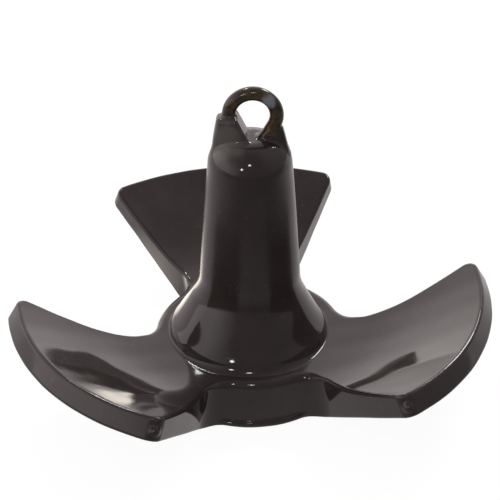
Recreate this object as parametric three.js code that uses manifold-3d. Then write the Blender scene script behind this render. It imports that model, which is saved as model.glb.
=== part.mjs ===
// A river anchor: one iron casting (shank, hub and three cupped flukes) with a bent steel eye cast into its
// head, all of it dipped in vinyl. The casting and its skin are built in sections, so that each is a plain
// solid.
// Millimetres, +Z up, origin at the centre of the flat base. The eye lies in the XZ plane, and the rear fluke
// points nearly along +Y.
import * as THREE from "three";
import { mergeVertices } from "three/addons/utils/BufferGeometryUtils.js";
import Module from "manifold-3d";

const wasm = await Module();
wasm.setup();

// The skin
const COAT = 1.5; // vinyl on the casting
const EYE_COAT = 0.55; // vinyl on the steel eye, where most of the dip runs off
const GAP = 0.3; // between two pieces that touch
const EYE_GAP = 0.15; // between the steel eye and its skin
const CORE = COAT + GAP; // how far the iron lies under the outer surface

// The hub, a thick disc
const HUB_R = 57.5;
const HUB_TOP = 30;
const HUB_EDGE = 5; // rounding of the top edge
const BEAD = 1.2; // how far the skin's drip bead stands out round the bottom edge
const BEAD_TOP = 5;
const FLANGE = 3; // the part of the disc that runs on under the flukes

// The shank, a tapered post with a bell foot
const FOOT_R = 47;
const FOOT_LIP = 3.5; // the upright edge of the foot, above the hub
const FLARE_TOP = 66;
const FLARE_R = 29.6;
const FLARE_BEND = [34.6, 49.5]; // control point of the bell's curve, as radius and height
const WAIST_R = 26.7; // the taper grows a little towards the head
const WAIST_Z = 111;
const SHOULDER_Z = 146;
const SHOULDER_R = 23.8;
const DOME_Z = 161.4;
const DOME_FLAT_R = 8;

// The flukes: thick plates on a bowl, a third of a turn apart
const FLUKE_TURN = 8.7; // degrees from +Y to the rear fluke, anticlockwise from above
const FLUKES = { rear: FLUKE_TURN, left: FLUKE_TURN + 120, right: FLUKE_TURN + 240 };
const FLUKE_HALF = 31.6; // degrees each side of the middle
const FLUKE_DRAFT = 6; // degrees the sides lean in towards the ground
const FLUKE_ROOT_R = 48.5;
const FLUKE_ROOT_Z = 30.5;
const FLUKE_TIP_R = 135.5; // top edge of the rim
const FLUKE_TIP_Z = 64;
const FLUKE_TIP_SLOPE = 31.8; // degrees of rise at the rim
const FLUKE_RIM = 14; // thickness at the rim
const FLUKE_EDGE = 2.2; // chamfer of the rim
const FLUKE_CORNER = 11.5; // radius of the corners, seen from above

// The steel eye: a round bar bent to a teardrop, with two tails in the iron
const ROD_R = 3.175;
const EYE_R = 13.25; // to the middle of the bar
const EYE_X = 1.5; // the eye stands a little to the right of the shank's axis
const EYE_Z = 175;
const EYE_V = 29; // degrees of each leg from the vertical
const TAIL_X = 4.3;
const TAIL_Z = 108; // where the tails start to splay, so that they can't pull out
const TAIL_HOOK = [5.3, 104];
const TAIL_END = [9.5, 97];

// The crown, iron raised round the eye's legs
const CROWN_WIDTH = 43.5;
const LEFT_EAR_THICK = 16.5;
const RIGHT_EAR_THICK = 9; // little more than the rod
const RIGHT_EAR_CORNER = 3.5; // radius of its upright edges, seen from above
const CROWN_Z = 153;
const SADDLE_Z = 158.2; // bottom of the V between the legs
const LEFT_EAR_Z = 173.3;
const RIGHT_EAR_Z = 167.5;

const ROUND = 48; // sides of a full turn
const ROD_SIDES = 12;
const LOOP_STEPS = 16;
const radians = THREE.MathUtils.degToRad;
const flat = (x, y) => new THREE.Vector2(x, y);
const spot = (x, z) => new THREE.Vector3(x, 0, z);

// ---- geometry to solid and back ----

function solid(geometry) {
  const bare = geometry.index ? geometry.toNonIndexed() : geometry.clone();
  bare.deleteAttribute("normal");
  bare.deleteAttribute("uv");
  const merged = mergeVertices(bare, 1e-4);
  return new wasm.Manifold(
    new wasm.Mesh({
      numProp: 3,
      vertProperties: merged.attributes.position.array,
      triVerts: new Uint32Array(merged.index.array),
    }),
  );
}

function mesh(name, shape, material) {
  const made = shape.getMesh();
  const geometry = new THREE.BufferGeometry();
  geometry.setAttribute("position", new THREE.BufferAttribute(made.vertProperties, 3));
  geometry.setIndex(new THREE.BufferAttribute(made.triVerts, 1));
  geometry.computeVertexNormals();
  const piece = new THREE.Mesh(geometry, material);
  piece.name = name;
  return piece;
}

// Moves every edge of a counter-clockwise outline inwards by distance, or outwards if it is negative. An open
// outline starts and ends on the axis, and stays on it.
function inset(points, distance, closed = true) {
  const count = points.length;
  return points.map((point, i) => {
    if (!closed && point.x === 0) return flat(0, point.y + (i === 0 ? distance : -distance));
    const arrive = point.clone().sub(points[(i + count - 1) % count]).normalize();
    const leave = points[(i + 1) % count].clone().sub(point).normalize();
    const middle = arrive.clone().add(leave).normalize();
    const reach = Math.sqrt((1 + arrive.dot(leave)) / 2);
    return point.clone().addScaledVector(flat(-middle.y, middle.x), distance / reach);
  });
}

function revolve(points) {
  return solid(new THREE.LatheGeometry(points, ROUND).rotateX(Math.PI / 2));
}

// A disc from low to high, to cut a section off with.
function slab(radius, low, high) {
  const disc = new THREE.CylinderGeometry(radius, radius, high - low, ROUND);
  return solid(disc.rotateX(Math.PI / 2).translate(0, 0, (low + high) / 2));
}

// A curve from one point to another that leaves and arrives along the lines to the control point.
function bend(from, control, to, steps) {
  return new THREE.QuadraticBezierCurve(from, control, to).getPoints(steps);
}

// ---- the steel eye ----

// The bar's centre line from the right leg, over the top, to the left leg, with the buried tails if asked
// for. It is laid out about its own middle, and then moved to EYE_X.
function eyePath(buried) {
  const turn = radians(EYE_V);
  const top = spot(EYE_R * Math.cos(turn), EYE_Z - EYE_R * Math.sin(turn));
  const bottom = spot(TAIL_X, top.z - (top.x - TAIL_X) / Math.tan(turn));
  const leg = [0.85, 0.5, 0.2].map((share) => top.clone().lerp(bottom, share));
  const elbow = bottom.z - ROD_R;
  const tail = [
    spot(...TAIL_END),
    spot(...TAIL_HOOK),
    spot(TAIL_X, TAIL_Z),
    spot(TAIL_X, (TAIL_Z + elbow) / 2),
    spot(TAIL_X, elbow),
  ];
  const right = buried ? [...tail, ...leg] : leg;
  const left = right.map((point) => spot(-point.x, point.z)).reverse();
  const loop = Array.from({ length: LOOP_STEPS + 1 }, (_, i) => {
    const around = -turn + (i / LOOP_STEPS) * (Math.PI + 2 * turn);
    return spot(EYE_R * Math.cos(around), EYE_Z + EYE_R * Math.sin(around));
  });
  const points = [...right, ...loop, ...left].map((point) => spot(point.x + EYE_X, point.z));
  return new THREE.CatmullRomCurve3(points, false, "centripetal");
}

function rod(radius, buried) {
  const section = new THREE.Shape();
  section.absarc(0, 0, radius, 0, 2 * Math.PI);
  return solid(
    new THREE.ExtrudeGeometry(section, {
      steps: buried ? 60 : 32,
      curveSegments: ROD_SIDES / 2,
      bevelEnabled: false,
      extrudePath: eyePath(buried),
    }),
  );
}

// ---- the shank ----

// The shank's outline from the axis at its foot, which is sunk in the hub, to the axis at its dome.
function shankOutline() {
  return [
    flat(0, HUB_TOP / 2),
    flat(FOOT_R, HUB_TOP / 2),
    ...bend(flat(FOOT_R, HUB_TOP + FOOT_LIP), flat(...FLARE_BEND), flat(FLARE_R, FLARE_TOP), 7),
    flat(WAIST_R, WAIST_Z),
    ...bend(flat(SHOULDER_R, SHOULDER_Z), flat(SHOULDER_R - 1, DOME_Z), flat(DOME_FLAT_R, DOME_Z), 6),
    flat(0, DOME_Z),
  ];
}

// The crown seen from the front: up the low right ear, down the V between the legs, up the high left ear.
function crownOutline() {
  return [
    flat(-21.8, CROWN_Z),
    flat(21.8, CROWN_Z),
    flat(20.5, RIGHT_EAR_Z - 8),
    flat(19, RIGHT_EAR_Z - 1.6),
    flat(15.7, RIGHT_EAR_Z),
    flat(EYE_X + 9.5, RIGHT_EAR_Z - 1.6),
    flat(EYE_X + 4, SADDLE_Z + 1.9),
    flat(EYE_X, SADDLE_Z),
    flat(EYE_X - 4, SADDLE_Z + 2.9),
    flat(-8.2, LEFT_EAR_Z - 3.1),
    flat(-11.8, LEFT_EAR_Z - 0.6),
    flat(-17.2, LEFT_EAR_Z),
    flat(-19.5, LEFT_EAR_Z - 2.6),
    flat(-20.9, LEFT_EAR_Z - 11.8),
  ];
}

function crown(depth) {
  const outline = new THREE.Shape(inset(crownOutline(), depth));
  const front = new THREE.ExtrudeGeometry(outline, { depth: LEFT_EAR_THICK, bevelEnabled: false });
  front.translate(0, 0, -LEFT_EAR_THICK / 2).rotateX(Math.PI / 2);
  const right = flat(CROWN_WIDTH / 2 - RIGHT_EAR_CORNER, RIGHT_EAR_THICK / 2 - RIGHT_EAR_CORNER);
  const left = EYE_X - ROD_R;
  const plan = new THREE.Shape();
  plan.absarc(right.x, -right.y, RIGHT_EAR_CORNER - depth, -Math.PI / 2, 0);
  plan.absarc(right.x, right.y, RIGHT_EAR_CORNER - depth, 0, Math.PI / 2);
  plan.lineTo(EYE_X + ROD_R, RIGHT_EAR_THICK / 2 - depth);
  plan.absellipse(
    left,
    0,
    CROWN_WIDTH / 2 + left - depth,
    LEFT_EAR_THICK / 2 - depth,
    Math.PI / 2,
    1.5 * Math.PI,
  );
  plan.lineTo(EYE_X + ROD_R, depth - RIGHT_EAR_THICK / 2);
  const upright = new THREE.ExtrudeGeometry(plan, { depth: EYE_Z, bevelEnabled: false, curveSegments: 4 });
  return solid(front).intersect(solid(upright));
}

// The shank with its surface moved inwards by depth, cut off square at bottom.
function shankSolid(depth, bottom) {
  const post = revolve(inset(shankOutline(), depth, false));
  return post.add(crown(depth)).intersect(slab(2 * FOOT_R, bottom, EYE_Z));
}

// ---- the flukes ----

// The plate's section on its bowl: out along the straight underside, round the rim, and back over the hollow
// top.
function flukeSection(innerR) {
  const slope = radians(FLUKE_TIP_SLOPE);
  const along = flat(Math.cos(slope), Math.sin(slope));
  const down = flat(along.y, -along.x);
  const tip = flat(FLUKE_TIP_R, FLUKE_TIP_Z);
  const underTip = tip.clone().addScaledVector(down, FLUKE_RIM);
  const level = FLUKE_TIP_R - (FLUKE_TIP_Z - FLUKE_ROOT_Z) / Math.tan(slope);
  return [
    flat(innerR, FLANGE),
    flat(underTip.x - (underTip.y - FLANGE) / Math.tan(slope), FLANGE),
    underTip.clone().addScaledVector(along, -FLUKE_EDGE),
    underTip.clone().addScaledVector(down, -FLUKE_EDGE),
    tip.clone().addScaledVector(down, FLUKE_EDGE),
    ...bend(
      tip.clone().addScaledVector(along, -FLUKE_EDGE),
      flat(level, FLUKE_ROOT_Z),
      flat(FLUKE_ROOT_R, FLUKE_ROOT_Z),
      8,
    ),
    flat(innerR, FLUKE_ROOT_Z),
  ];
}

// The fluke's outline seen from above, about +X: a sector from the axis, with rounded corners at the rim.
function flukePlan() {
  const rim = FLUKE_TIP_R + FLUKE_RIM * Math.sin(radians(FLUKE_TIP_SLOPE)) + GAP;
  const half = radians(FLUKE_HALF);
  const reach = rim - FLUKE_CORNER;
  const cornerAt = half - Math.asin(FLUKE_CORNER / reach);
  const plan = new THREE.Path();
  plan.absarc(
    reach * Math.cos(cornerAt),
    -reach * Math.sin(cornerAt),
    FLUKE_CORNER,
    -half - Math.PI / 2,
    -cornerAt,
  );
  plan.absarc(0, 0, rim, -cornerAt, cornerAt);
  plan.absarc(
    reach * Math.cos(cornerAt),
    reach * Math.sin(cornerAt),
    FLUKE_CORNER,
    cornerAt,
    half + Math.PI / 2,
  );
  return [flat(0, 0), ...plan.getPoints(7)];
}

// The space over the fluke's plan, down to the flange, with drafted sides that are moved inwards by depth.
function flukeWedge(depth) {
  const top = inset(flukePlan(), depth);
  const height = FLUKE_TIP_Z - FLANGE + GAP;
  const bottom = inset(top, height * Math.tan(radians(FLUKE_DRAFT)));
  const prism = new THREE.ExtrudeGeometry(new THREE.Shape(top), { depth: height, bevelEnabled: false });
  const corners = prism.attributes.position;
  for (let i = 0; i < corners.count; i++) {
    if (corners.getZ(i) > 0) continue;
    const corner = flat(corners.getX(i), corners.getY(i));
    const nearest = top.reduce((best, point, j) =>
      point.distanceTo(corner) < top[best].distanceTo(corner) ? j : best, 0);
    corners.setXY(i, bottom[nearest].x, bottom[nearest].y);
  }
  return solid(prism.translate(0, 0, FLUKE_TIP_Z - height).rotateZ(Math.PI / 2));
}

// The fluke with its surface moved inwards by depth, cut off round at rootR.
function flukeSolid(depth, rootR) {
  const section = inset(flukeSection(rootR - depth), depth);
  return revolve([...section, section[0].clone()]).intersect(flukeWedge(depth));
}

const turned = (shape, angle) => shape.rotate([0, 0, angle]);

// ---- the hub ----

function hubOutline() {
  const wall = HUB_R - BEAD;
  return [
    flat(0, 0),
    flat(HUB_R - 2 * BEAD, 0),
    flat(HUB_R, BEAD_TOP / 2),
    flat(wall, BEAD_TOP),
    ...bend(flat(wall, HUB_TOP - HUB_EDGE), flat(wall, HUB_TOP), flat(wall - HUB_EDGE, HUB_TOP), 3),
    flat(0, HUB_TOP),
  ];
}

// The hub with its surface moved inwards by depth, and with room for the roots of the flukes.
function hubSolid(depth) {
  const root = flukeWedge(-GAP).subtract(slab(FLUKE_ROOT_R - GAP, 0, FLUKE_TIP_Z));
  return Object.values(FLUKES).reduce(
    (disc, angle) => disc.subtract(turned(root, angle)),
    revolve(inset(hubOutline(), depth, false)),
  );
}

// ---- the pieces ----

const iron = new THREE.MeshStandardMaterial({ color: 0x3a3836, roughness: 0.85, metalness: 0.6 });
const steel = new THREE.MeshStandardMaterial({ color: 0x8a8884, roughness: 0.4, metalness: 1 });
const vinyl = new THREE.MeshStandardMaterial({ color: 0x1c1a1b, roughness: 0.18, metalness: 0 });

const eyeRod = rod(ROD_R, true);
const eyeCoating = rod(ROD_R + EYE_GAP + EYE_COAT, false)
  .subtract(rod(ROD_R + EYE_GAP, true))
  .subtract(shankSolid(-GAP, HUB_TOP));

const channel = rod(ROD_R + GAP, true);
const shankCasting = shankSolid(CORE, HUB_TOP - COAT).subtract(channel);
const shankCoating = shankSolid(0, HUB_TOP + GAP).subtract(shankSolid(COAT, 0)).subtract(channel);

const hubCasting = hubSolid(CORE);
const hubCoating = hubSolid(0)
  .subtract(revolve(inset(hubOutline(), COAT, false)))
  .subtract(slab(FOOT_R + GAP, FLANGE, FLUKE_TIP_Z));

const flukeCasting = flukeSolid(CORE, FLUKE_ROOT_R);
const flukeCoating = flukeSolid(0, FLUKE_ROOT_R).subtract(flukeSolid(COAT, FLUKE_ROOT_R - COAT));

const anchor = new THREE.Group();
anchor.add(mesh("eye_rod", eyeRod, steel));
anchor.add(mesh("eye_coating", eyeCoating, vinyl));
anchor.add(mesh("shank_casting", shankCasting, iron));
anchor.add(mesh("shank_coating", shankCoating, vinyl));
anchor.add(mesh("hub_casting", hubCasting, iron));
anchor.add(mesh("hub_coating", hubCoating, vinyl));
for (const [place, angle] of Object.entries(FLUKES)) {
  anchor.add(mesh(`fluke_casting_${place}`, turned(flukeCasting, angle), iron));
  anchor.add(mesh(`fluke_coating_${place}`, turned(flukeCoating, angle), vinyl));
}

export default anchor;
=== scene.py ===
"""A vinyl-dipped cast-iron river anchor on a pale studio floor.

The dipped skin is one smooth surface, given by a distance function in millimetres. It is meshed once and
cut near the places where the CAD model's coating nodes meet. Each piece stands for its own node.
"""
import math

import bpy
import numpy as np
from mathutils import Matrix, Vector


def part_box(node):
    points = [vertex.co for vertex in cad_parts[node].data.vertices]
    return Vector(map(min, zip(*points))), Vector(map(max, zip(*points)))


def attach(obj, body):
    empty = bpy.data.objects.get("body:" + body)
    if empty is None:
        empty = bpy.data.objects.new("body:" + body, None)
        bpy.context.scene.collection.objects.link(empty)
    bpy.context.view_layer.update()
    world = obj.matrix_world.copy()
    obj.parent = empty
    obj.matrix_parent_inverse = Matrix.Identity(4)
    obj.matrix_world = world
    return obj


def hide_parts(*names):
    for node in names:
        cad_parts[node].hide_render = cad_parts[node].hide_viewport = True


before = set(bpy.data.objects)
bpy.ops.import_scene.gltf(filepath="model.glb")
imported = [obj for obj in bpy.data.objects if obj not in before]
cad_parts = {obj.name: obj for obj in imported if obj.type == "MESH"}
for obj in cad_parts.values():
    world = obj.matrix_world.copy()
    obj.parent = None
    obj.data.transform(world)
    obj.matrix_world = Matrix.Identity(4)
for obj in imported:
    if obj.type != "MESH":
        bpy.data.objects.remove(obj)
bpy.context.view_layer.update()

MM = 0.001
TINY = 1e-6  # keeps a divisor from being 0


# ---------------------------------------------------------------- sizes in millimetres, from the CAD first


def extent(node):
    """The lowest and highest corners of a CAD node."""
    low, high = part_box(node)
    return np.array(low) / MM, np.array(high) / MM


def middle(node):
    """The mean place of a CAD node's vertices."""
    corners = np.array([tuple(v.co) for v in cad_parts[node].data.vertices]) / MM
    return corners.mean(axis=0)


HUB_R, _, HUB_TOP = extent("hub_coating")[1]
FOOT_R, _, HEAD_TOP = extent("shank_coating")[1]
FLUKE_TOP = extent("fluke_coating_rear")[1][2]

eye_low, eye_high = extent("eye_coating")
ROD_R = eye_high[1]
EYE_X = (eye_low[0] + eye_high[0]) / 2
EYE_R = (eye_high[0] - eye_low[0]) / 2 - ROD_R
EYE_Z = eye_high[2] - EYE_R - ROD_R

FLUKES = ("rear", "left", "right")  # in anticlockwise order
REAR, LEFT = 0, 1  # places in that order
SECTOR = 2 * math.pi / len(FLUKES)
rear_middle = middle("fluke_coating_rear")
FLUKE_TURN = math.atan2(-rear_middle[0], rear_middle[1])  # of the rear fluke, anticlockwise from +Y

# Shapes that the nodes' boxes don't give. First the hub.
WALL_R = HUB_R - 1.2  # inside its bead
HUB_EDGE = 5  # rounding of the top edge
HUB_FOOT = 1.2  # rounding of the bottom edge
BEAD_R = HUB_R - 1
BEAD_Z = 2.4
BEAD_THICK = 2.0
BEAD_BLEND = 1

# The shank: a long taper above a bell.
SHANK_Z = 66  # where the bell ends
SHANK_R = 29.6  # at that height
SHANK_TAPER = 0.06
SHANK_CURVE = 0.00014  # how the taper grows towards the head
SHANK_SINK = 8  # how far the shank runs on into the hub
BELL_Z = HUB_TOP + 4.2  # the top of the lip round the foot
BELL_SLOPE = 0.52
BELL_BLEND = 3
FLARE = 1.75  # how much the bell narrows just above the lip
FLARE_LENGTH = 5
FOOT_EDGE = 2.5
FOOT_LEAN = 1.0  # how far the bell's foot stands to the left of the shank's axis
LEAN_START = HUB_TOP + 10
LEAN_END = SHANK_Z + 10
FOOT_FILLET = 1.2
FRONT_FILLET = 3  # how much wider the fillet is in front
FRONT_START = 10  # how far forward it starts to widen
DOME_Z = 161.4
DOME_ROUND = 15.5

# The flukes.
FLUKE_HALF = math.radians(31.6)
FLUKE_DRAFT = math.radians(6)
FLUKE_SWELL = 0.9  # how far the sides stand out past their angle
FLUKE_CORNER = 7.5
FLUKE_EDGE = 2.2
FLUKE_UNDER_EDGE = 1.8
FLUKE_WEB = 15  # the fill between the hub's wall and the flukes' sides
REAR_TRIM = 0.9  # how much narrower the rear fluke is on its left
RIM_R = 135.5
RIM_Z = FLUKE_TOP + 1.2
RIM_TILT = math.radians(31.8)
RIM_SWELL = 0.4
BOWL_Z = HUB_TOP + 0.5
BOWL_SWELL = 0.3
BOWL_SLOPE = 0.62
BOWL_R = 81.5
BOWL_BEND = 11
UNDER_SLOPE = 0.68
UNDER_R = HUB_R + 7.5
UNDER_BEND = 2
FLUKE_START = UNDER_R + 1.1  # where a fluke's piece of skin begins
EDGE_START = HUB_R - 1  # from here out, the hub's edges give way to the flukes'
EDGE_END = HUB_R + 9

# Drips on the front corners of the left and right flukes.
NUB_R = 2.7
NUB_OUT = RIM_R + 2.2
NUB_Z = 56.5
NUB_TURN = FLUKE_HALF - math.radians(1.2)
NUB_BLEND = 1.6

# The crown's ears, as corners in x and z, anticlockwise as seen from the front.
LEFT_EAR = [(-23, 150), (0, 150), (0.8, 158.5), (-7.4, 175.4), (-18.6, HEAD_TOP + 0.6), (-21.2, 162)]
RIGHT_EAR = [(0, 150), (22.6, 150), (20.8, 160), (18.2, 168), (10.5, 167.6), (1.5, 158.5)]
EAR_CORNER = 1.5
LEFT_EAR_EDGE = 2.5
LEFT_EAR_X = -1.7  # the left ear is half an ellipse as seen from above, and this is its middle
LEFT_EAR_LENGTH = 20.3
LEFT_EAR_HALF = 8.3
RIGHT_EAR_EDGE = 2
RIGHT_EAR_HALF = ROD_R - 0.6
EARS_BLEND = 1.5
CROWN_BLEND = 2.2

# The eye.
EYE_SPREAD = math.radians(29)  # how far the loop goes round below its middle before the legs run straight
LEG_LENGTH = 14
EYE_BLEND = 1.8

# The unevenness of the dip.
SWELL_HEIGHT = 0.12
SWELL_LENGTH = 34


# ---------------------------------------------------------------- the skin's distance function


def round_max(a, b, radius):
    """What two solids share, with a rounded edge."""
    inside = np.minimum(np.maximum(a, b), -radius)
    return inside + np.hypot(np.maximum(a + radius, 0), np.maximum(b + radius, 0))


def round_min(a, b, radius):
    """Two solids as one, with a filled corner."""
    return -round_max(-a, -b, radius)


def ease(value, start, end):
    """0 before start, 1 after end and a smooth step between."""
    t = np.clip((value - start) / (end - start), 0, 1)
    return t * t * (3 - 2 * t)


def softplus(value, width):
    """0 far below zero and the value itself far above, with a bend of that width."""
    return width * np.logaddexp(0, value / width)


def swell(x, y, z, length):
    """An uneven swell between about -1 and 1, with waves of about that length."""
    k = 2 * math.pi / length
    first = np.sin(k * (0.93 * x + 0.31 * y + 0.21 * z) + 1.3) * np.sin(k * (0.71 * z - 0.64 * x) + 0.4)
    second = np.sin(k * (0.83 * y - 0.42 * x + 0.38 * z) + 2.6) * np.sin(k * (0.58 * z + 0.77 * y) + 5.1)
    return (first + second) / 1.6


def shank_radius(z):
    """The round shank's radius: a long taper that opens into a bell at its foot."""
    rise = z - SHANK_Z
    taper = SHANK_R - SHANK_TAPER * rise - SHANK_CURVE * np.maximum(rise, 0) ** 2
    bell = FOOT_R - BELL_SLOPE * (z - BELL_Z) - FLARE * (1 - np.exp((BELL_Z - z) / FLARE_LENGTH))
    blend = np.maximum(BELL_BLEND - np.abs(taper - bell), 0) / BELL_BLEND
    return np.maximum(taper, bell) + blend * blend * BELL_BLEND / 4


def shank(x, y, z):
    """The round shank, with a lip round its foot and a domed top."""
    rho = np.hypot(x + FOOT_LEAN * (1 - ease(z, LEAN_START, LEAN_END)), y)
    side = round_max(rho - shank_radius(z), rho - FOOT_R, FOOT_EDGE)
    return np.maximum(round_max(side, z - DOME_Z, DOME_ROUND), HUB_TOP - SHANK_SINK - z)


def convex(x, z, corners, radius):
    """A convex outline with rounded corners, given anticlockwise as seen with x to the right and z up."""
    shape = None
    for (x0, z0), (x1, z1) in zip(corners, corners[1:] + corners[:1]):
        length = math.hypot(x1 - x0, z1 - z0)
        edge = ((z1 - z0) * (x - x0) - (x1 - x0) * (z - z0)) / length
        shape = edge if shape is None else round_max(shape, edge, radius)
    return shape


def crown(x, y, z):
    """The head, drawn up round the eye's two legs: a thick ear on the left and a thin one on the right."""
    aside = np.minimum(x - LEFT_EAR_X, 0)
    around = np.hypot(aside / LEFT_EAR_LENGTH, y / LEFT_EAR_HALF)
    steepness = np.hypot(aside / LEFT_EAR_LENGTH**2, y / LEFT_EAR_HALF**2)
    plan = around * (around - 1) / np.maximum(steepness, TINY)
    left = round_max(convex(x, z, LEFT_EAR, EAR_CORNER), plan, LEFT_EAR_EDGE)
    right = round_max(convex(x, z, RIGHT_EAR, EAR_CORNER), np.abs(y) - RIGHT_EAR_HALF, RIGHT_EAR_EDGE)
    return round_min(left, right, EARS_BLEND)


def eye(x, y, z):
    """The coated rod: a loop with two legs that run together down into the head."""
    across, up = np.abs(x - EYE_X), z - EYE_Z
    along = -across * math.sin(EYE_SPREAD) - up * math.cos(EYE_SPREAD)
    aside = across * math.cos(EYE_SPREAD) - up * math.sin(EYE_SPREAD) - EYE_R
    loop = np.hypot(across, up) - EYE_R
    leg = np.hypot(aside, np.maximum(along - LEG_LENGTH, 0))
    return np.hypot(np.where(along > 0, leg, loop), y) - ROD_R


def nearest_fluke(x, y):
    """The nearest fluke's number in FLUKES, and the angle from its middle."""
    heading = np.arctan2(-x, y) - FLUKE_TURN
    turns = np.round(heading / SECTOR)
    return turns.astype(int) % len(FLUKES), heading - turns * SECTOR


def fluke_plan(fluke, rho, out, aside, z):
    """The hub and the flukes as seen from above, with the lean of their sides and rims."""
    side = np.abs(aside) * math.cos(FLUKE_HALF) - out * math.sin(FLUKE_HALF)
    side = side + (RIM_Z - z) * math.sin(FLUKE_DRAFT) - FLUKE_SWELL
    side = side + REAR_TRIM * ((fluke == REAR) & (aside > 0))
    rim = (rho - RIM_R) * math.cos(RIM_TILT) + (z - RIM_Z) * math.sin(RIM_TILT) - RIM_SWELL
    return round_min(rho - WALL_R, round_max(rim, side, FLUKE_CORNER), FLUKE_WEB)


def rising(rho, slope, start, bend):
    """A height that rises outwards past the start, and how steep it is: (height, steepness)."""
    return slope * softplus(rho - start, bend), slope / (1 + np.exp((start - rho) / bend))


def drip(fluke, out, aside, z):
    """The drip on the front corner of the left or the right fluke. The rear fluke has none."""
    turn = np.where(fluke == LEFT, NUB_TURN, -NUB_TURN)
    far = np.hypot(out - NUB_OUT * np.cos(turn), aside - NUB_OUT * np.sin(turn))
    return np.where(fluke == REAR, np.inf, np.hypot(far, z - NUB_Z) - NUB_R)


def base(x, y, z):
    """The hub and its three flukes."""
    rho = np.hypot(x, y)
    fluke, heading = nearest_fluke(x, y)
    out, aside = rho * np.cos(heading), rho * np.sin(heading)

    bowl, bowl_steepness = rising(rho, BOWL_SLOPE, BOWL_R, BOWL_BEND)
    under, under_steepness = rising(rho, UNDER_SLOPE, UNDER_R, UNDER_BEND)
    top = (z - BOWL_Z - bowl) / np.hypot(1, bowl_steepness) - BOWL_SWELL
    bottom = (under - z) / np.hypot(1, under_steepness)

    outward = ease(rho, EDGE_START, EDGE_END)
    plan = fluke_plan(fluke, rho, out, aside, z)
    solid = round_max(plan, top, HUB_EDGE + (FLUKE_EDGE - HUB_EDGE) * outward)
    solid = round_max(solid, bottom, HUB_FOOT + (FLUKE_UNDER_EDGE - HUB_FOOT) * outward)
    bead = np.hypot(rho - BEAD_R, z - BEAD_Z) - BEAD_THICK
    solid = round_min(solid, bead, BEAD_BLEND)
    return round_min(solid, drip(fluke, out, aside, z), NUB_BLEND)


def reaches_head(z):
    """Whether any of the heights is near the crown and the eye, which the work below them leaves out."""
    return z.max() > DOME_Z - 2 * DOME_ROUND


def casting(x, y, z):
    """Everything but the eye."""
    stem = shank(x, y, z)
    if reaches_head(z):
        stem = round_min(stem, crown(x, y, z), CROWN_BLEND)
    fillet = FOOT_FILLET + FRONT_FILLET * ease(-y, FRONT_START, FOOT_R)
    return round_min(stem, base(x, y, z), fillet)


def skin(x, y, z):
    """The whole dipped surface: negative inside, positive outside."""
    shape = casting(x, y, z)
    if reaches_head(z):
        shape = round_min(shape, eye(x, y, z), EYE_BLEND)
    return shape + SWELL_HEIGHT * swell(x, y, z, SWELL_LENGTH)


# ---------------------------------------------------------------- meshing it

STEP = 1.6  # of the grid that the surface is found on
EVENING = 0.6  # how far each point goes towards its neighbours' middle in one round
LEAST_SQUARE = 0.1  # of the slope squared, which keeps the moves short where the function is nearly flat
LIP_DEPTH = 1.5  # how far the lips along the borders turn in

# The pieces of the skin and the CAD nodes that they stand for.
PIECES = {"eye": "eye_coating", "shank": "shank_coating", "hub": "hub_coating"}
PIECES.update({f"fluke_{side}": f"fluke_coating_{side}" for side in FLUKES})
EYE, SHANK, HUB, FIRST_FLUKE = range(4)


def crossing_cells(field):
    """The grid cells that the surface crosses, as a true or false array."""
    inside = field < 0
    count = np.zeros(tuple(n - 1 for n in field.shape), np.int8)
    for i in (0, 1):
        for j in (0, 1):
            for k in (0, 1):
                count += inside[i : i - 1 or None, j : j - 1 or None, k : k - 1 or None]
    return (count > 0) & (count < 8)


def surface_grid(function, low, high, step):
    """Quads near the function's zero surface, one point to a grid cell: (points, quads)."""
    x, y, z = (np.arange(a, b + step, step) for a, b in zip(low, high))
    field = np.empty((len(x), len(y), len(z)), np.float32)
    for k in range(len(z)):
        field[:, :, k] = function(x[:, None], y[None, :], np.full((1, 1), z[k]))
    cells = crossing_cells(field)
    number = np.full(cells.shape, -1, np.int64)
    where = np.argwhere(cells)
    number[cells] = np.arange(len(where))
    points = np.array([x[0], y[0], z[0]]) + (where + 0.5) * step

    quads = []
    inside = field < 0
    for axis in range(3):
        a, b = (axis + 1) % 3, (axis + 2) % 3
        start = np.moveaxis(inside, (axis, a, b), (0, 1, 2))
        name = np.moveaxis(number, (axis, a, b), (0, 1, 2))
        leaving = start[:-1, 1:-1, 1:-1] & ~start[1:, 1:-1, 1:-1]
        entering = ~start[:-1, 1:-1, 1:-1] & start[1:, 1:-1, 1:-1]
        ring = (name[:, :-1, :-1], name[:, 1:, :-1], name[:, 1:, 1:], name[:, :-1, 1:])
        quads.append(np.stack([r[leaving] for r in ring], axis=1))
        quads.append(np.stack([r[entering] for r in ring[::-1]], axis=1))
    return points, np.vstack(quads)


def gradient(function, points, nudge=0.02):
    """The function's gradient at each point."""
    slopes = []
    for axis in range(3):
        ahead, behind = points.copy(), points.copy()
        ahead[:, axis] += nudge
        behind[:, axis] -= nudge
        slopes.append((function(*ahead.T) - function(*behind.T)) / (2 * nudge))
    return np.stack(slopes, axis=1)


def settle(function, points, steps, reach):
    """The points moved onto the function's zero surface, by at most reach in each step."""
    for _ in range(steps):
        slope = gradient(function, points)
        square = np.maximum((slope**2).sum(axis=1), LEAST_SQUARE)
        move = -(function(*points.T) / square)[:, None] * slope
        length = np.maximum(np.linalg.norm(move, axis=1, keepdims=True), TINY)
        points = points + move * np.minimum(1, reach / length)
    return points


def edges_of(faces):
    """Each face's sides, in order round it, as pairs of points."""
    return np.stack([faces, np.roll(faces, -1, axis=1)], axis=2).reshape(-1, 2)


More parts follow.
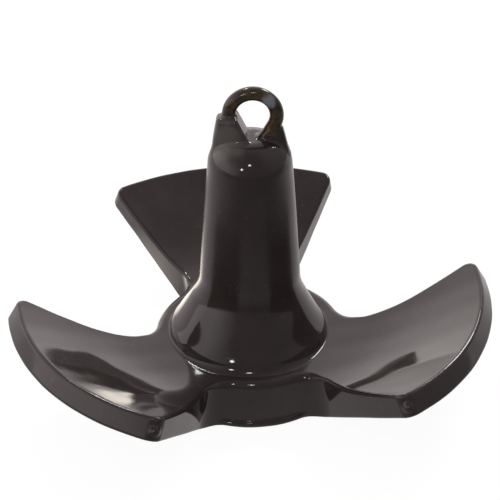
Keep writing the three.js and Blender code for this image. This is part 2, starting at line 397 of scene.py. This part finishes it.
def even_out(function, points, quads, rounds):
    """The points spread evenly over the surface."""
    pairs = np.unique(np.sort(edges_of(quads), axis=1), axis=0)
    start, end = np.vstack([pairs, pairs[:, ::-1]]).T
    count = np.bincount(start, minlength=len(points))[:, None]
    for _ in range(rounds):
        sums = [np.bincount(start, points[end, axis], len(points)) for axis in range(3)]
        around = np.stack(sums, axis=1) / count
        points = settle(function, points + EVENING * (around - points), steps=1, reach=1)
    return points


def divide(points, quads):
    """Each quad made into four."""
    sides = edges_of(quads)
    pairs, which = np.unique(np.sort(sides, axis=1), axis=0, return_inverse=True)
    middles = points[pairs].mean(axis=1)
    centres = points[quads].mean(axis=1)
    middle = which.reshape(-1, 4) + len(points)
    centre = np.arange(len(quads)) + len(points) + len(middles)
    parts = [np.stack([quads[:, i], middle[:, i], centre, middle[:, i - 1]], axis=1) for i in range(4)]
    return np.vstack([points, middles, centres]), np.vstack(parts)


def cut(points, triangles, level):
    """The triangles divided where level, one number for each point, passes through zero."""
    above = level > 0
    sides = edges_of(triangles)
    crossed = above[sides[:, 0]] != above[sides[:, 1]]
    pairs, which = np.unique(np.sort(sides[crossed], axis=1), axis=0, return_inverse=True)
    a, b = pairs.T
    share = (level[a] / (level[a] - level[b]))[:, None]
    new = points[a] + (points[b] - points[a]) * share
    middle = np.full(len(sides), -1)
    middle[crossed] = which.reshape(-1) + len(points)
    middle = middle.reshape(-1, 3)
    made = [triangles[(middle < 0).all(axis=1)]]
    for lone in range(3):
        ahead, behind = (lone + 1) % 3, (lone + 2) % 3
        picked = (middle[:, lone] >= 0) & (middle[:, behind] >= 0)
        corner, second, third = triangles[picked][:, [lone, ahead, behind]].T
        leave, back = middle[picked][:, [lone, behind]].T
        parts = ((corner, leave, back), (leave, second, third), (leave, third, back))
        made += [np.stack(part, axis=1) for part in parts]
    return np.vstack([points, new]), np.vstack(made)


def skin_mesh():
    """The dipped surface as (points, triangles), with edges along the borders between the pieces."""
    step = STEP
    margin = 3 * step
    lows, highs = zip(*(extent(node) for node in PIECES.values()))
    low, high = np.min(lows, axis=0) - margin, np.max(highs, axis=0) + margin
    points, quads = surface_grid(skin, low, high, step)
    points = settle(skin, points, steps=4, reach=step)
    points = even_out(skin, points, quads, rounds=4)
    points, quads = divide(points, quads)
    points = settle(skin, points, steps=3, reach=step / 2)
    triangles = np.vstack([quads[:, [0, 1, 2]], quads[:, [0, 2, 3]]])
    for border in (eye_border, foot_border, fluke_border):
        points, triangles = cut(points, triangles, border(*points.T))
    return points, triangles


def eye_border(x, y, z):
    """Negative on the eye, zero along the corner between the eye and the head."""
    return eye(x, y, z) - casting(x, y, z)


def foot_border(x, y, z):
    """Negative on the shank, zero along the corner between its foot and the hub."""
    return np.minimum(shank(x, y, z), crown(x, y, z)) - base(x, y, z)


def fluke_border(x, y, z):
    """Negative on the hub and the shank, zero where the flukes start."""
    return np.hypot(x, y) - FLUKE_START


def piece_of(x, y, z):
    """The number in PIECES of the piece that each place belongs to."""
    fluke, _ = nearest_fluke(x, y)
    lower = np.where(fluke_border(x, y, z) > 0, FIRST_FLUKE + fluke, HUB)
    body = np.where(foot_border(x, y, z) < 0, SHANK, lower)
    return np.where(eye_border(x, y, z) < 0, EYE, body)


def build(name, points, triangles, normals):
    """A mesh object of part of the skin, with a lip that turns in along its open borders."""
    used, triangles = np.unique(triangles, return_inverse=True)
    triangles = triangles.reshape(-1, 3)
    points, normals = points[used], normals[used]
    sides = edges_of(triangles)
    names = sides[:, 0] * len(points) + sides[:, 1]
    opposite_names = sides[:, 1] * len(points) + sides[:, 0]
    start, end = sides[~np.isin(names, opposite_names)].T
    inner = points - LIP_DEPTH * normals
    rim = np.vstack([points[start], points[end], inner[end], inner[start]])
    lip = len(points) + np.arange(len(rim)).reshape(4, -1).T[:, [1, 0, 3, 2]]

    mesh = bpy.data.meshes.new(name)
    faces = [*triangles.tolist(), *lip.tolist()]
    mesh.from_pydata(np.vstack([points, rim]) * MM, [], faces)
    mesh.polygons.foreach_set("use_smooth", np.ones(len(faces), bool))
    own_normals = np.zeros((lip.size, 3))  # zero leaves a lip's corner with the mesh's own normal
    mesh.normals_split_custom_set(np.vstack([normals[triangles.reshape(-1)], own_normals]).tolist())
    obj = bpy.data.objects.new(name, mesh)
    bpy.context.scene.collection.objects.link(obj)
    return obj


# ---------------------------------------------------------------- materials

VINYL = ((0.0245, 0.019, 0.0182, 1), (0.031, 0.0245, 0.0233, 1))
# the colour of the scuffs, and of the painted light on the head's left front
SCUFF_AND_HEAD_LIGHT = (0.085, 0.077, 0.073, 1)
PAINTED_HEAD_LIGHT = (-13, -8, 163)  # a lighter patch painted on the left front of the head where light falls, in millimetres
HANDLED_FOOT = (0.056, 0.082)  # the heights, in metres, over which the dulled part sets in
HANDLED_TOP = (0.135, 0.155)  # and over which it ends
HANDLED_ROUGH = 0.2
THIN_VINYL = ((0.018, 0.013, 0.010, 1), (0.060, 0.038, 0.014, 1))
OLIVE = (0.022, 0.024, 0.012, 1)
EYE_HIGHLIGHT_PLACE = (EYE_X + 8.6, -ROD_R, EYE_Z + 10)  # where a bluish highlight is painted on the eye's upper right, in millimetres
# the colour of the highlight painted on the eye
EYE_HIGHLIGHT_COLOUR = (0.18, 0.195, 0.23, 1)
RUST = (0.13, 0.055, 0.025, 1)
STAIN = (0.2, 0.13, 0.08, 1)

# The colour sockets of Blender's Mix node.
MIX_SHARE, MIX_A, MIX_B, MIX_RESULT = 0, 6, 7, 2


class Nodes:
    """The node tree of a new material, or of the world, with short ways to add to it."""

    def __init__(self, name, world=None):
        self.owner = world or bpy.data.materials.new(name)
        self.owner.use_nodes = True
        self.tree = self.owner.node_tree
        self.tree.nodes.clear()
        self.place = self.add("ShaderNodeTexCoord").outputs["Generated" if world else "Object"]

    def add(self, kind, **sockets):
        """A node of that kind, with each input socket set to a value or joined to an output."""
        node = self.tree.nodes.new(kind)
        for name, value in sockets.items():
            self.set(node, name.replace("_", " "), value)
        return node

    def set(self, node, name, value):
        """Sets one input socket to a value, or joins it to an output."""
        if isinstance(value, bpy.types.NodeSocket):
            self.tree.links.new(value, node.inputs[name])
        else:
            node.inputs[name].default_value = value

    def combine(self, kind, operation, *values):
        """A maths node of that kind, working on the values in order."""
        node = self.add(kind)
        node.operation = operation
        for socket, value in enumerate(values):
            self.set(node, socket, value)
        return node

    def weave(self, a, b, more):
        """a times b, and more."""
        return self.combine("ShaderNodeMath", "MULTIPLY_ADD", a, b, more).outputs[0]

    def most(self, a, b):
        """The greater of two values."""
        return self.combine("ShaderNodeMath", "MAXIMUM", a, b).outputs[0]

    def along(self, way):
        """How far each place lies along that way, in metres."""
        return self.combine("ShaderNodeVectorMath", "DOT_PRODUCT", self.place, way).outputs["Value"]

    def distance(self, centre):
        """How far each place is from the centre, in metres."""
        return self.combine("ShaderNodeVectorMath", "DISTANCE", self.place, centre).outputs["Value"]

    def span(self, value, start, end, low=0.0, high=1.0):
        """The value, from start to end, as a number from low to high."""
        ends = {"From_Min": start, "From_Max": end, "To_Min": low, "To_Max": high}
        return self.add("ShaderNodeMapRange", Value=value, **ends).outputs["Result"]

    def noise(self, size, detail=3.0, roughness=0.55):
        """Noise from 0 to 1 with blotches of about that size, in millimetres."""
        look = {"Scale": 1 / (size * MM), "Detail": detail, "Roughness": roughness}
        return self.add("ShaderNodeTexNoise", Vector=self.place, **look).outputs["Fac"]

    def patch(self, centre, inner, outer):
        """1 within the inner distance of a point and 0 beyond the outer one, unevenly, in millimetres."""
        ragged = self.weave(self.noise(outer / 2, 5), outer * MM, self.distance([c * MM for c in centre]))
        return self.span(ragged, (inner + outer / 2) * MM, 1.5 * outer * MM, 1, 0)

    def mix(self, share, a, b):
        """Colour a where share is 0 and b where it is 1."""
        node = self.add("ShaderNodeMix")
        node.data_type = "RGBA"
        for socket, value in ((MIX_SHARE, share), (MIX_A, a), (MIX_B, b)):
            self.set(node, socket, value)
        return node.outputs[MIX_RESULT]

    def bump(self, height, distance, normal=None):
        """A bumped normal. The distance is how far a height of 1 stands out, in millimetres."""
        node = self.add("ShaderNodeBump", Height=height, Distance=distance * MM)
        if normal is not None:
            self.set(node, "Normal", normal)
        return node.outputs["Normal"]

    def shader(self, kind, **sockets):
        """A shader of that kind."""
        return self.add(kind, **sockets).outputs[0]

    def blend(self, share, a, b):
        """Shader a where share is 0 and b where it is 1."""
        node = self.add("ShaderNodeMixShader", Fac=share)
        self.set(node, 1, a)
        self.set(node, 2, b)
        return node.outputs[0]

    def finish(self, surface, kind="ShaderNodeOutputMaterial"):
        """Ends the tree in a shader."""
        self.add(kind, Surface=surface)
        return self.owner

    def finish_stage(self, lighting, seen, kind="ShaderNodeOutputMaterial"):
        """Ends the tree in one shader for the light it gives and another for how it looks itself."""
        path = self.add("ShaderNodeLightPath")
        return self.finish(self.blend(path.outputs["Is Camera Ray"], lighting, seen), kind)

    def finish_solid(self, **sockets):
        """Ends the tree in a Principled shader."""
        return self.finish(self.shader("ShaderNodeBsdfPrincipled", **sockets))


def grey(level):
    """A neutral colour of that level."""
    return (level, level, level, 1)


def black_vinyl():
    """Thick glossy black PVC, uneven from the dip, scuffed, with a lighter patch painted on the head's left
    front where light falls, and dulled between two heights by handling.
    """
    n = Nodes("black_vinyl")
    colour = n.mix(n.span(n.noise(26), 0.35, 0.65), *VINYL)
    scuffs = n.span(n.noise(5, 8, 0.7), 0.62, 0.8)
    # painted light: the head's left front made lighter where light falls on it
    painted_head_light = n.patch(PAINTED_HEAD_LIGHT, 5, 15)
    colour = n.mix(n.most(scuffs, painted_head_light), colour, SCUFF_AND_HEAD_LIGHT)
    glossy = n.span(n.noise(14, 4), 0.3, 0.7, 0.05, 0.10)
    height = n.along((0, 0, 1))
    below_top = n.span(height, *HANDLED_TOP, HANDLED_ROUGH, 0)
    handled = n.weave(n.span(height, *HANDLED_FOOT), below_top, glossy)
    normal = n.bump(n.noise(14, 1), 0.02)
    normal = n.bump(n.noise(1.6, 2), 0.002, normal)
    return n.finish_solid(Base_Color=colour, Roughness=handled, Normal=normal, IOR=1.42)


def eye_vinyl():
    """The eye's thin dip, mottled brown and olive, with a bluish highlight painted on its upper right."""
    n = Nodes("eye_vinyl")
    colour = n.mix(n.span(n.noise(5, 5, 0.65), 0.42, 0.6), *THIN_VINYL)
    colour = n.mix(n.span(n.noise(3, 4), 0.55, 0.7), colour, OLIVE)
    # painted highlight: a bluish patch on the eye's upper right
    colour = n.mix(n.patch(EYE_HIGHLIGHT_PLACE, 2.5, 5), colour, EYE_HIGHLIGHT_COLOUR)
    rough = n.span(n.noise(6, 4), 0.3, 0.7, 0.08, 0.2)
    normal = n.bump(n.noise(4, 3), 0.12)
    return n.finish_solid(Base_Color=colour, Roughness=rough, Normal=normal, IOR=1.45)


def cast_iron():
    """Rough sand-cast iron with a little rust."""
    n = Nodes("cast_iron")
    colour = n.mix(n.span(n.noise(18, 6, 0.65), 0.5, 0.68), grey(0.07), RUST)
    rough = n.span(n.noise(3, 5), 0.3, 0.7, 0.5, 0.8)
    normal = n.bump(n.noise(1.2, 6, 0.7), 0.35)
    return n.finish_solid(Base_Color=colour, Roughness=rough, Metallic=0.7, Normal=normal)


def drawn_steel():
    """Bright drawn steel rod, lightly stained."""
    n = Nodes("drawn_steel")
    colour = n.mix(n.span(n.noise(8, 5), 0.45, 0.7), grey(0.42), STAIN)
    rough = n.span(n.noise(2, 4), 0.3, 0.7, 0.25, 0.45)
    normal = n.bump(n.noise(0.8, 4), 0.05)
    return n.finish_solid(Base_Color=colour, Roughness=rough, Metallic=1.0, Normal=normal)


# ---------------------------------------------------------------- the pieces

vinyl, thin_vinyl = black_vinyl(), eye_vinyl()
points, triangles = skin_mesh()
normals = gradient(skin, points)
normals /= np.linalg.norm(normals, axis=1, keepdims=True)
owner = piece_of(*points[triangles].mean(axis=1).T)
for index, (name, node) in enumerate(PIECES.items()):
    piece = build(f"{name}_skin", points, triangles[owner == index], normals)
    piece.data.materials.append(thin_vinyl if index == EYE else vinyl)
    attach(piece, "root")
    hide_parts(node)

iron, steel = cast_iron(), drawn_steel()
for name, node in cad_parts.items():
    if "casting" in name or name == "eye_rod":
        node.data.materials.clear()
        node.data.materials.append(steel if name == "eye_rod" else iron)


# ---------------------------------------------------------------- studio and camera, in metres

TARGET = np.array([0, 0, 0.0865])
CAMERA_AZIMUTH = 0.41
CAMERA_ELEVATION = 33.2
CAMERA_DISTANCE = 0.937
CAMERA_SENSOR = 36  # in millimetres, as is the lens
CAMERA_LENS = 116.2
CAMERA_SHIFT = -0.0014

STAGE_COLOUR = (1, 0.93, 0.92, 1)  # of the light from the room and the floor
ROOM_LIGHT = (0.31, 1.76)  # the room's brightness in its dim and its bright parts
FLOOR_HALF = 12
FLOOR_LIGHT = (0.21, 0.9)  # the floor's brightness on its dim and its bright side
FLOOR_WAY = (-0.25, 0.97, 0)  # from the dim side to the bright one
FLOOR_SHOWN = 1.07  # how bright the floor looks
POOL = (-0.068, 0.125, 0)  # a warm pool of light beside the rear fluke, on its left
POOL_SIZE = 0.058
POOL_LIGHT = 2.8
POOL_COLOUR = (1, 0.92, 0.83, 1)

LAMP_DISTANCE = 1.15
LAMP_RADIUS = 0.055
LAMP_POWER = 4
PANEL_DISTANCE = 1.2


def direction(azimuth, elevation):
    """The unit vector towards a place seen at those angles, with azimuth 0 in front and 90 to the right."""
    a, e = math.radians(azimuth), math.radians(elevation)
    return np.array([math.sin(a) * math.cos(e), -math.cos(a) * math.cos(e), math.sin(e)])


def pale_floor():
    """A white floor. The light that it gives is dim in front and bright behind, with a warm pool."""
    n = Nodes("pale_floor")
    matt = n.shader("ShaderNodeBsdfDiffuse", Color=grey(0.82))
    white = n.shader("ShaderNodeEmission", Color=grey(1.0), Strength=FLOOR_SHOWN)
    level = n.span(n.along(FLOOR_WAY), -0.3, 0.2, *FLOOR_LIGHT)
    lit = n.shader("ShaderNodeEmission", Color=STAGE_COLOUR, Strength=level)
    warm = n.shader("ShaderNodeEmission", Color=POOL_COLOUR, Strength=POOL_LIGHT)
    near = n.span(n.distance(POOL), 0.5 * POOL_SIZE, POOL_SIZE, 1, 0)
    return n.finish_stage(n.blend(near, lit, warm), n.blend(0.88, matt, white))


def studio_world():
    """A white studio. Its light is bright low down on the left, fainter high on the right, and else dim."""
    world = bpy.data.worlds.new("studio")
    n = Nodes("studio", world)
    up = n.along((0, 0, 1))
    left = n.span(n.along(direction(-125, 0)), -0.2, 0.5)
    low = n.span(up, 0.3, 0.85, 1, 0.1)
    right = n.span(n.along(direction(130, 0)), -0.1, 0.5, 0, 0.2)
    high = n.span(up, -0.1, 0.8)
    level = n.span(n.weave(right, high, n.weave(left, low, 0)), 0, 1, *ROOM_LIGHT)
    lit = n.shader("ShaderNodeBackground", Color=STAGE_COLOUR, Strength=level)
    seen = n.shader("ShaderNodeBackground", Color=grey(1.0), Strength=1.0)
    return n.finish_stage(lit, seen, "ShaderNodeOutputWorld")


def stage_floor():
    """A broad flat floor under the anchor."""
    corners = [(-FLOOR_HALF, -FLOOR_HALF, 0), (FLOOR_HALF, -FLOOR_HALF, 0)]
    corners += [(FLOOR_HALF, FLOOR_HALF, 0), (-FLOOR_HALF, FLOOR_HALF, 0)]
    mesh = bpy.data.meshes.new("floor")
    mesh.from_pydata(corners, [], [(0, 1, 2, 3)])
    floor = bpy.data.objects.new("floor", mesh)
    bpy.context.scene.collection.objects.link(floor)
    floor.data.materials.append(pale_floor())


def light_at(name, light, distance, azimuth, elevation):
    """A light's object, put at those angles and facing the anchor."""
    obj = bpy.data.objects.new(name, light)
    aim = direction(azimuth, elevation)
    obj.location = TARGET + distance * aim
    obj.rotation_euler = Vector(aim).to_track_quat("Z", "Y").to_euler()
    bpy.context.scene.collection.objects.link(obj)
    return obj


def lamp(name, azimuth, elevation):
    """A small round lamp."""
    light = bpy.data.lights.new(name, "POINT")
    light.shadow_soft_size = LAMP_RADIUS
    light.energy = LAMP_POWER
    light_at(name, light, LAMP_DISTANCE, azimuth, elevation)


def panel(name, azimuth, elevation, width, height, power):
    """A soft rectangular light that isn't seen itself."""
    light = bpy.data.lights.new(name, "AREA")
    light.shape = "RECTANGLE"
    light.size = width
    light.size_y = height
    light.energy = power
    light_at(name, light, PANEL_DISTANCE, azimuth, elevation).visible_camera = False


def add_camera():
    """The scene's camera, looking a little down at the anchor from in front."""
    camera = bpy.data.objects.new("camera", bpy.data.cameras.new("camera"))
    bpy.context.scene.collection.objects.link(camera)
    camera.location = TARGET + CAMERA_DISTANCE * direction(CAMERA_AZIMUTH, CAMERA_ELEVATION)
    camera.rotation_euler = (math.radians(90 - CAMERA_ELEVATION), 0, math.radians(CAMERA_AZIMUTH))
    camera.data.sensor_width = CAMERA_SENSOR
    camera.data.lens = CAMERA_LENS
    camera.data.shift_y = CAMERA_SHIFT
    bpy.context.scene.camera = camera


add_camera()
bpy.context.scene.world = studio_world()
bpy.context.scene.view_settings.view_transform = "Standard"

stage_floor()
lamp("camera_lamp", 1, CAMERA_ELEVATION + 13)
lamp("left_lamp", -23, 29)
panel("left_panel", -153, 52, 0.16, 0.12, 2.6)
panel("right_panel", 143, 40, 0.35, 0.25, 5)
